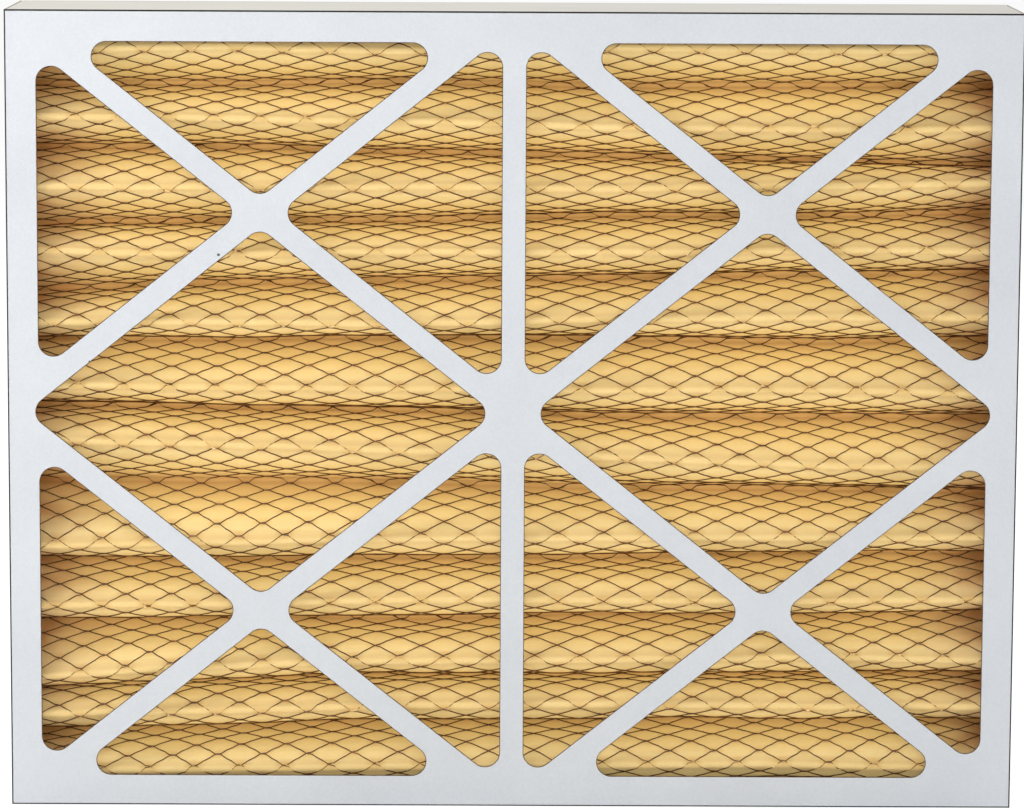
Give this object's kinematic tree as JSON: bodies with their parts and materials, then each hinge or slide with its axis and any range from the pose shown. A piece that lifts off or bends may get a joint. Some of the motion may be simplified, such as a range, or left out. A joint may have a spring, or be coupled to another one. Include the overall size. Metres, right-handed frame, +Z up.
{
  "type": "pleated panel air filter",
  "caption": "Rectangular pleated panel air filter: deep pleated media backed by expanded metal, held in nested die-cut board trays whose faces have slanted straps and an upright bar.",
  "frame": {"origin": "middle of the underside's bounding box, on the long edge that the filter stands on", "axes": "+X along the width, +Y from the air-leaving face to the air-entering face, +Z up the height"},
  "size_m": [0.6224, 0.0952, 0.4953],
  "materials": {
    "board": "clay-coated paperboard, satin",
    "media": "non-woven synthetic fibre, golden tan",
    "grid": "thin expanded steel, dull",
    "adhesive": "dried hot-melt adhesive"
  },
  "bodies": {
    "root": {"front_tray": "board", "rear_tray": "board", "pleated_media": "media", "wire_grid": "grid", "front_tip_glue": "adhesive", "rear_tip_glue": "adhesive", "side_glue": "adhesive"}
  },
  "joints": []
}
